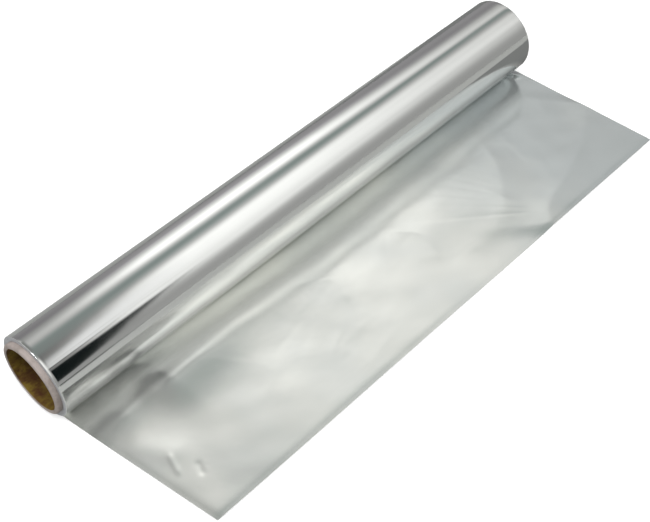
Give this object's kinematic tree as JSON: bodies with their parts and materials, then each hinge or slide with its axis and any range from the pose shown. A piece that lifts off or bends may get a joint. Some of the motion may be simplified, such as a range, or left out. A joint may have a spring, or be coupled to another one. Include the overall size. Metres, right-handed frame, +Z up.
{
  "type": "aluminium foil roll",
  "caption": "Roll of household aluminium foil on a cardboard core, lying on its side with a short length pulled out flat.",
  "frame": {"origin": "on the table, below the roll's axis and midway along the foil's width: a point of the flat foot that the roll rests on", "axes": "+X along the roll, +Z up, and the pulled-out length of foil lies towards -Y"},
  "size_m": [0.3048, 0.114, 0.0389],
  "materials": {
    "core_board": "matte spiral-wound kraft board, brown inside, pale at the cut ends",
    "foil": "mirror bright with lengthwise streaks on the outer face, satin on the inner face"
  },
  "bodies": {
    "root": {"cardboard_core": "core_board", "foil_web": "foil"}
  },
  "joints": []
}
